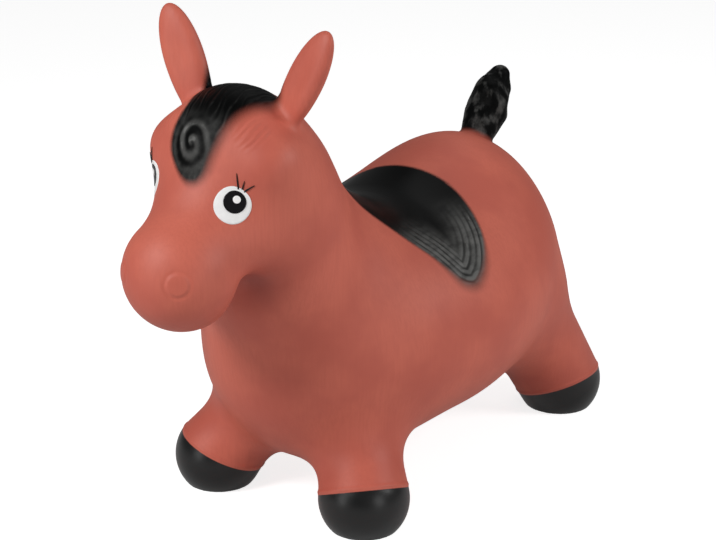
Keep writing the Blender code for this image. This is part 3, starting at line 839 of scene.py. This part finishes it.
def wear_and_sheen_share(n, z, saddle_mask, hair_mask, tail_mask):
    """How grey the black turns, as wear and as painted highlights: on the relief's raised lines and over
    the hair below the crown, and as painted highlights alone on the saddle's lower end and tail patches."""
    height = n.attribute("relief")
    below_crown = n.fade(z, *crown_fade)
    soft_mask = n.most(saddle_mask, hair_mask)
    kept = n.times(soft_mask, n.calc("MULTIPLY_ADD", below_crown, 0.8, 0.2))
    # Grey on the relief's raised lines: wear, and a painted highlight along their crests
    raised = n.times(n.fade(height, 0.02, 0.42), kept)
    raised = n.times(raised, n.fade(n.noise(120.0, detail=3.0), 0.30, 0.70))
    # A painted highlight on the saddle's lower end, grey in patches
    saddle_end_sheen = n.times(n.fade(z, *low_end_heights), n.fade(n.attribute("saddle_edge"), *low_end_ways))
    saddle_end_sheen = n.times(n.times(saddle_end_sheen, saddle_mask), n.fade(height, *low_end_relief))
    patches = n.fade(n.noise(130.0, (1, 0.45, 1), detail=3.0), 0.32, 0.62, 0.55, 1.0)
    saddle_end_sheen = n.times(saddle_end_sheen, patches)
    uneven = n.calc("MULTIPLY_ADD", n.noise(110.0, detail=3.0), 0.6, n.calc("SUBTRACT", height, 0.30))
    # The hair below the crown greyed unevenly, partly as wear and partly as painted highlights
    hair_wear_and_sheen = n.times(n.times(hair_mask, below_crown), n.fade(uneven, -0.30, 0.50, 0, 0.55))
    # Painted highlights in patches on the tail
    tail_sheen = n.fade(n.noise(95.0, tail_grain, detail=3.0), 0.46, 0.70, 0, 0.46)
    return n.most(raised, n.times(tail_mask, tail_sheen), hair_wear_and_sheen, saddle_end_sheen)


def vinyl_normal(n, streaks, skin_only, tail_mask):
    """The fine relief: combed streaks and a grain, both fainter on the paint, and the tail's twist."""
    bump = n.bump(streaks, 0.0004, n.calc("MULTIPLY_ADD", skin_only, 0.40, 0.10))
    bump = n.bump(n.noise(1100.0), 0.00012, n.calc("MULTIPLY_ADD", skin_only, 0.18, 0.05), bump)
    twist = n.noise(150.0, tail_grain, detail=3.0)
    return n.bump(twist, tail_twist_depth, n.times(tail_mask, 0.7), bump)


def painted_vinyl():
    """Matte red-brown vinyl with a fine combed grain and painted shade behind the jaw, and black paint
    whose edges are sprayed soft along the saddle and hair and crisp along the hooves. The black turns
    greyer on the relief, partly as wear and partly as painted highlights."""
    n = Nodes("painted_vinyl")
    skin_colour, streaks = bare_vinyl(n)
    place = n.add("ShaderNodeTexCoord").outputs["Object"]
    parts = n.add("ShaderNodeSeparateXYZ", {"Vector": place}).outputs
    x, z = parts["X"], parts["Z"]
    saddle_soft = n.fade(z, *saddle_soft_heights, *saddle_softness)
    saddle_mask = sprayed(n, n.attribute("saddle_edge"), saddle_soft)
    hair_soft = n.fade(x, *hair_soft_places, *hair_softness)
    hair_mask = sprayed(n, n.attribute("hair_edge"), hair_soft)
    hoof_mask = n.fade(n.attribute("hoof_edge"), hoof_softness, -hoof_softness)
    tail_mask = n.fade(n.attribute("tail_rise"), *tail_fade)
    black_mask = n.most(saddle_mask, hair_mask, hoof_mask, tail_mask)
    skin_only = n.calc("SUBTRACT", 1.0, black_mask)
    # The black greyed partly as wear and partly as painted highlights
    wear_and_sheen = wear_and_sheen_share(n, z, saddle_mask, hair_mask, tail_mask)
    colour = n.mix(black_mask, skin_colour, n.mix(wear_and_sheen, black, black_wear_and_sheen))
    rougher = n.most(n.times(tail_mask, tail_roughness), n.times(hair_mask, hair_roughness))
    roughness = n.calc("SUBTRACT", base_roughness, n.times(black_mask, black_gloss))
    roughness = n.calc("ADD", roughness, rougher)
    roughness = n.calc("ADD", roughness, n.times(hoof_mask, hoof_roughness))
    painted_shine = n.calc("MULTIPLY_ADD", hoof_mask, hoof_shine, least_shine)
    shine = n.calc("MULTIPLY_ADD", skin_only, skin_shine, painted_shine)
    n.feed(n.shader.inputs["Specular IOR Level"], shine)
    return n.finish(colour, roughness, vinyl_normal(n, streaks, skin_only, tail_mask))


def plain_print(name, colour, roughness):
    """A printed colour with a faint mottle and a fine grain."""
    n = Nodes(name)
    mottle = n.fade(n.noise(160.0), 0.3, 0.7)
    darker = tuple(0.95 * c for c in colour[:3]) + (1,)
    n.feed(n.shader.inputs["Specular IOR Level"], 0.20)
    return n.finish(n.mix(mottle, colour, darker), roughness, n.bump(n.noise(900.0), 0.0001, 0.3))


vinyl = painted_vinyl()
eye_white = plain_print("eye_white_print", (0.97, 0.97, 0.96, 1), 0.35)
pupil_black = plain_print("pupil_print", (0.006, 0.006, 0.007, 1), 0.30)
lash_black = plain_print("lash_print", (0.006, 0.004, 0.004, 1), 0.50)
valve_white = plain_print("valve_vinyl_white", (0.78, 0.78, 0.75, 1), 0.45)

# The skin's pieces: the still ones with how often their faces are split, then the hooves, and last
# the legs, ears and tail, made in place and given no bend
still_pieces = (("torso_skin", 0), ("neck_skin", 0), ("head_skin", 1), ("saddle_panel", 1),
                ("mane_panel", 1), ("forelock", 1))
for name, splits in still_pieces:
    made = skin_piece(name, vinyl, splits=splits)
    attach(made, "torso")
    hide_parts("head_skin" if name == "neck_skin" else name)
for end in legs:
    for side_name, side in SIDES:
        made = skin_piece(f"hoof_{end}_{side_name}", vinyl)
        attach(made, f"foot_{end}_{side_name}")
        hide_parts(f"hoof_{end}_{side_name}")
for name, (body, (start, stop)) in skin_blends().items():
    made = skin_piece(name, vinyl)
    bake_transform(made)
    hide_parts(name)


def on_skin(places):
    """Places moved onto the skin in a few steps, and the skin's outward ways there."""
    p = np.array(places, float)
    for _ in range(drop_rounds):
        p = dropped(p)
    g = slope(p.astype(np.float32))
    return p, g / np.linalg.norm(g, axis=1, keepdims=True)


def on_eye(side, flat, height):
    """Places across and up from an eye's middle, laid on the skin and raised by their height."""
    middle, facing = (each[0] for each in on_skin([mirrored(eyes[side], side)]))
    across = side * np.cross((0, 0, 1), facing)
    across /= np.linalg.norm(across)
    up = np.cross(facing, across) * side
    places, outward = on_skin(middle + flat[:, :1] * across + flat[:, 1:] * up)
    return places + outward * height[:, None]


def both_sides(name, flat, height, quads, paint):
    """A print on each side of the head, the right one with its faces turned."""
    made = []
    for side_name, side in SIDES:
        turned = quads if side > 0 else quads[:, ::-1]
        places = on_eye(side, flat, height)
        made.append(mesh_piece(f"{name}_{side_name}_print", places, turned, None, {}, paint))
        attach(made[-1], "torso")
    return made


def printed_disc(name, middle, radius, lift, paint, rings=14, spokes=72):
    """A round print: rings and spokes round its middle, whose height is lift inside and falls to
    below the skin at the rim."""
    r = np.concatenate([np.linspace(0, 1, rings), [1.0]])[1:]
    a = np.linspace(0, 2 * pi, spokes, endpoint=False)
    circle = radius * np.stack([np.cos(a), np.sin(a)], -1)
    flat = np.concatenate([[[0, 0]], (r[:, None, None] * circle).reshape(-1, 2)]) + middle
    height = np.full(len(flat), lift)
    height[-spokes:] = -lift
    grid = 1 + np.arange(rings * spokes).reshape(rings, spokes)
    after = np.roll(grid, -1, 1)
    bands = np.stack([grid[:-1], grid[1:], after[1:], after[:-1]], -1).reshape(-1, 4)
    fan = np.stack([np.zeros(spokes // 2, int), grid[0, ::2], grid[0, 1::2], after[0, 1::2]], 1)
    return both_sides(name, flat, height, np.concatenate([fan, bands]), paint)


def printed_lashes(name, lines, width, lift, paint, steps=14):
    """Short strokes: each follows the quadratic curve through its three places, with a half width
    w sqrt(1 - (taper t)^2) that narrows to the tip, and five points across whose outer two are below
    the skin."""
    t = np.linspace(0, 1, steps)[:, None]
    across_share = np.array((-1.0, -0.9, 0.0, 0.9, 1.0))
    lift_share = np.array((-1, 1, 1, 1, -1.0))
    count = steps * len(across_share)
    places, heights, quads = [], [], []
    for a, b, c in np.array(lines):
        bend = 2 * b - (a + c) / 2
        line = (1 - t) ** 2 * a + 2 * t * (1 - t) * bend + t ** 2 * c
        way = np.gradient(line, axis=0)
        way /= np.linalg.norm(way, axis=1, keepdims=True)
        normal = np.stack([-way[:, 1], way[:, 0]], 1)
        half = width / 2 * np.sqrt(1 - (t * lash_taper) ** 2)
        flat = line[:, None] + normal[:, None] * (half * across_share)[..., None]
        grid = len(places) * count + np.arange(count).reshape(steps, -1)
        corners = [grid[:-1, :-1], grid[1:, :-1], grid[1:, 1:], grid[:-1, 1:]]
        places.append(flat.reshape(-1, 2))
        heights.append(np.tile(lift * lift_share, steps))
        quads.append(np.stack(corners, -1).reshape(-1, 4)[:, ::-1])
    return both_sides(name, np.concatenate(places), np.concatenate(heights), np.concatenate(quads), paint)


whites = printed_disc("eye_white", (0, 0), eye_radius, print_lift, eye_white)
for made, (side_name, _) in zip(whites, SIDES):
    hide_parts(f"eye_white_{side_name}")
pupils = printed_disc("pupil", pupil_place, pupil_radius, 2 * print_lift, pupil_black)
for made, (side_name, _) in zip(pupils, SIDES):
    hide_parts(f"pupil_{side_name}")
printed_disc("highlight", highlight_place, highlight_radius, 3 * print_lift, eye_white, rings=6, spokes=36)
printed_lashes("lashes", lashes, lash_width, 2 * print_lift, lash_black)

# The valve keeps its CAD shape
for name in ("valve_seat", "valve_plug"):
    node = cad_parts[name]
    node.data.materials.clear()
    node.data.materials.append(valve_white)

# The floor, which glows for the camera and less for glossy rays, and the world's light on the horse
floor_half_size = 6
floor_colour, floor_seen, floor_in_gloss = (0.62, 0.62, 0.62, 1), 0.81, 0.20
world_light = 0.15

# What the lamps point at
head_place = (0, -0.20, 0.34)
rump_place = (0, 0.12, 0.22)
foot_place = (0, -0.05, 0.06)
middle_place = (0, 0, 0.2)

# Each lamp's name, target, turn and rise in degrees, reach, size and power
lamps = (
    ("key", head_place, -20, 36, 1.4, 0.55, 12.6),
    ("side", rump_place, 102, 30, 1.6, 0.55, 9.3),
    ("back", middle_place, 195, 58, 2.4, 1.6, 5.0),
    ("fill", middle_place, 48, 22, 2.2, 1.6, 1.0),
    ("low_left", foot_place, -17, 9, 2.0, 0.72, 3.6),
    ("low_right", foot_place, 74, 11, 2.0, 0.78, 3.8),
)

# The camera, fitted to the photograph
camera_turn, camera_rise, camera_reach = 36.02, 19.34, 1.933
look_at = Vector((0, 0.0079, 0.2031))
focal_pixels, picture_width, sensor_width = 2000, 716, 36


def pale_floor():
    """A pale matte floor whose glow only camera rays and, less, glossy rays see."""
    n = Nodes("pale_floor")
    inputs = n.shader.inputs
    n.feed(inputs["Base Color"], floor_colour)
    n.feed(inputs["Roughness"], 0.9)
    n.feed(inputs["Specular IOR Level"], 0.0)
    n.feed(inputs["Emission Color"], (1, 1, 1, 1))
    rays = n.add("ShaderNodeLightPath").outputs
    seen = n.times(rays["Is Camera Ray"], floor_seen)
    in_gloss = n.times(rays["Is Glossy Ray"], floor_in_gloss)
    n.feed(inputs["Emission Strength"], n.most(seen, in_gloss))
    return n.material


def soft_lamp(name, place, target, size, power):
    """A round lamp at a place, pointed at a target."""
    lamp = bpy.data.lights.new(name, "AREA")
    lamp.shape = "DISK"
    lamp.size = size
    lamp.energy = power
    made = bpy.data.objects.new(name, lamp)
    made.location = place
    made.rotation_euler = (Vector(target) - Vector(place)).to_track_quat("-Z", "Y").to_euler()
    bpy.context.scene.collection.objects.link(made)


def way_round(turn, rise):
    """The way that lies turn degrees from straight ahead towards the left, and rise degrees up."""
    a, e = radians(turn), radians(rise)
    return Vector((sin(a) * cos(e), -cos(a) * cos(e), sin(e)))


def place_world():
    """A white world that camera rays see whole and that lights the horse only a little."""
    world = bpy.data.worlds.new("studio")
    bpy.context.scene.world = world
    world.use_nodes = True
    background = world.node_tree.nodes["Background"]
    background.inputs["Color"].default_value = (1, 1, 1, 1)
    path = world.node_tree.nodes.new("ShaderNodeLightPath")
    seen = world.node_tree.nodes.new("ShaderNodeMapRange")
    seen.inputs["To Min"].default_value = world_light
    seen.inputs["To Max"].default_value = 1.0
    world.node_tree.links.new(path.outputs["Is Camera Ray"], seen.inputs["Value"])
    world.node_tree.links.new(seen.outputs["Result"], background.inputs["Strength"])


def place_camera():
    """The photograph's camera."""
    back_way = way_round(camera_turn, camera_rise)
    lens = bpy.data.cameras.new("camera")
    lens.sensor_width = sensor_width
    lens.lens = focal_pixels / picture_width * sensor_width
    camera = bpy.data.objects.new("camera", lens)
    camera.location = look_at + back_way * camera_reach
    camera.rotation_euler = (-back_way).to_track_quat("-Z", "Y").to_euler()
    bpy.context.scene.collection.objects.link(camera)
    bpy.context.scene.camera = camera


corners = ((-1, -1, 0), (1, -1, 0), (1, 1, 0), (-1, 1, 0))
floor_points = floor_half_size * np.array(corners, float)
made = mesh_piece("floor", floor_points, np.array(((0, 1, 2, 3),)), None, {}, pale_floor())
for name, target, turn, rise, reach, size, power in lamps:
    soft_lamp(name, Vector(target) + reach * way_round(turn, rise), target, size, power)
place_world()
place_camera()
bpy.context.scene.view_settings.view_transform = "Standard"
